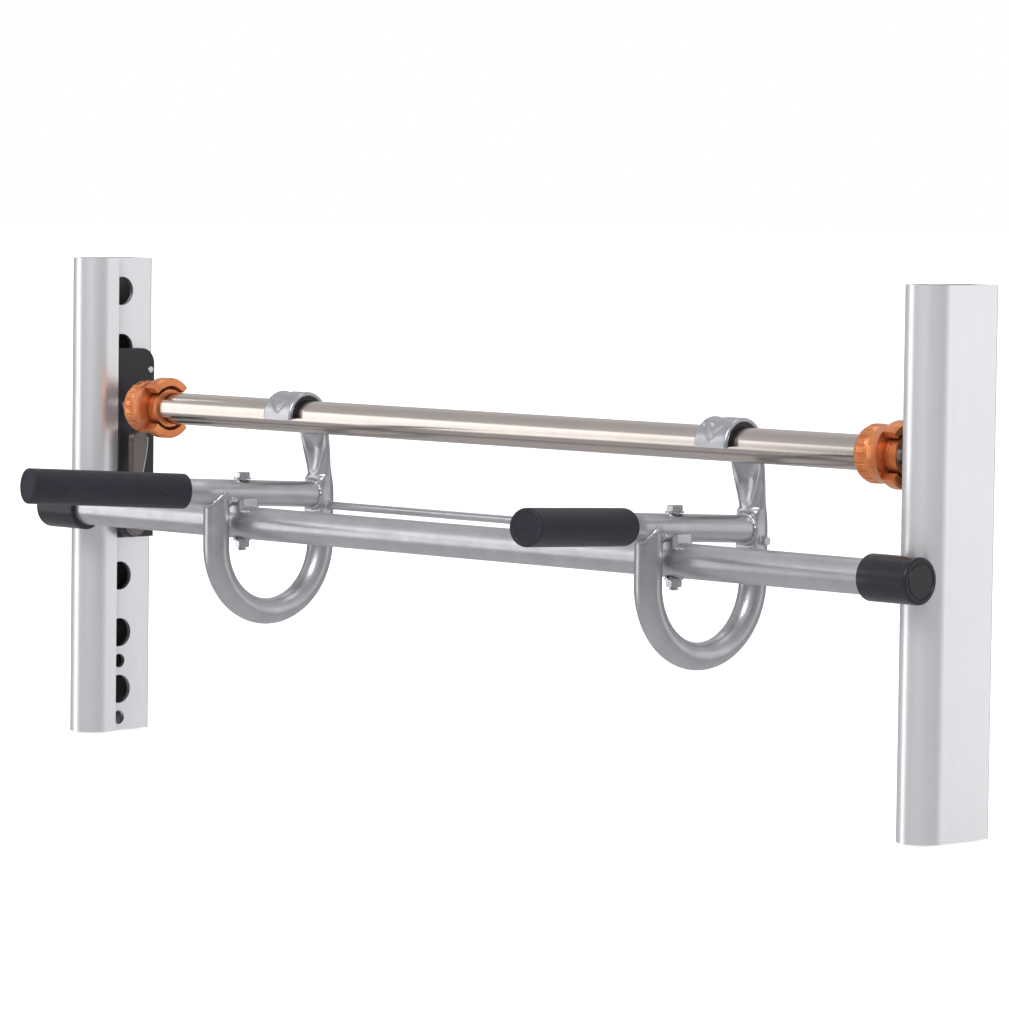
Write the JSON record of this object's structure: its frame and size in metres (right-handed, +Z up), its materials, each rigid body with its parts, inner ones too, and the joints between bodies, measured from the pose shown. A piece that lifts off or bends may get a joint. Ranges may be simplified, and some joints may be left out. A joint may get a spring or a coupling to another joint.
{
  "type": "pull-up and dip bar frame on a rack crossbar",
  "caption": "Hook-on frame with forward foam grips, U-loops and a lower bar, hung over a crossbar between perforated rack uprights.",
  "frame": {"origin": "on the crossbar's axis, midway between the two uprights' holed webs", "axes": "+X right along the crossbar, +Y to the back, +Z up"},
  "size_m": [1.1902, 0.3493, 0.483],
  "materials": {
    "upright_aluminium": "satin anodised extrusion",
    "nickel_tube": "satin champagne nickel",
    "zinc_steel": "zinc plated",
    "moulded_black": "moulded",
    "lever_bronze": "dark gloss",
    "polished_trim": "polished",
    "orange_anodised": "orange anodised",
    "frame_silver": "silver powder coat",
    "sleeve_rubber": "smooth",
    "grip_foam": "fine-pored foam"
  },
  "bodies": {
    "uprights": {"upright_left": "upright_aluminium", "upright_right": "upright_aluminium"},
    "crossbar": {"crossbar_tube": "nickel_tube", "spigot_left": "zinc_steel", "spigot_right": "zinc_steel", "carriage_plate_left": "moulded_black", "carriage_plate_right": "moulded_black", "carriage_screws": "zinc_steel", "latch_housing_left": "moulded_black", "latch_housing_right": "moulded_black"},
    "latch_pin_left": {"latch_pin_left": "zinc_steel"},
    "latch_pin_right": {"latch_pin_right": "zinc_steel"},
    "latch_lever_left": {"latch_lever_left": "lever_bronze", "lever_trim_left": "polished_trim"},
    "latch_lever_right": {"latch_lever_right": "lever_bronze", "lever_trim_right": "polished_trim"},
    "collar_left": {"collar_left": "orange_anodised"},
    "collar_right": {"collar_right": "orange_anodised"},
    "hook_frame": {"side_tube_left": "frame_silver", "hook_liner_left": "sleeve_rubber", "side_tube_right": "frame_silver", "hook_liner_right": "sleeve_rubber", "handle_tube_left": "frame_silver", "handle_tube_right": "frame_silver", "front_bar": "frame_silver", "cross_rod": "frame_silver", "bar_sleeve_left": "sleeve_rubber", "bar_sleeve_right": "sleeve_rubber", "bar_plug_left": "moulded_black", "bar_plug_right": "moulded_black", "grip_left": "grip_foam", "grip_right": "grip_foam", "handle_plug_left": "moulded_black", "handle_plug_right": "moulded_black", "frame_saddles": "zinc_steel", "frame_washers": "zinc_steel", "frame_bolts": "zinc_steel", "frame_nuts": "zinc_steel"}
  },
  "joints": [
    {"name": "crossbar_height", "type": "slide", "parent": "uprights", "child": "crossbar", "axis": [0, 0, 1], "range_m": [-0.0582, 0.0582]},
    {"name": "latch_lever_left_turn", "type": "hinge", "parent": "crossbar", "child": "latch_lever_left", "pos_m": [-0.53, 0, -0.1211], "axis": [-1, 0, 0], "range_deg": [0, 40]},
    {"name": "latch_lever_right_turn", "type": "hinge", "parent": "crossbar", "child": "latch_lever_right", "pos_m": [0.53, 0, -0.1211], "axis": [-1, 0, 0], "range_deg": [0, 40]},
    {"name": "latch_pin_left_slide", "type": "slide", "parent": "crossbar", "child": "latch_pin_left", "axis": [-1, 0, 0], "range_m": [0, 0.009]},
    {"name": "latch_pin_right_slide", "type": "slide", "parent": "crossbar", "child": "latch_pin_right", "axis": [1, 0, 0], "range_m": [0, 0.009]},
    {"name": "collar_left_twist", "type": "hinge", "parent": "crossbar", "child": "collar_left", "pos_m": [-0.5, 0, 0], "axis": [1, 0, 0], "range_deg": [-90, 0]},
    {"name": "collar_right_twist", "type": "hinge", "parent": "crossbar", "child": "collar_right", "pos_m": [0.5, 0, 0], "axis": [1, 0, 0], "range_deg": [-90, 0]},
    {"name": "hook_frame_swing", "type": "hinge", "parent": "crossbar", "child": "hook_frame", "pos_m": [0, 0, 0], "axis": [-1, 0, 0], "range_deg": [0, 50]}
  ],
  "couplings": [
    {"joint": "latch_pin_left_slide", "follows": "latch_lever_left_turn", "m_per_rad": 0.01289},
    {"joint": "latch_pin_right_slide", "follows": "latch_lever_right_turn", "m_per_rad": 0.01289}
  ]
}
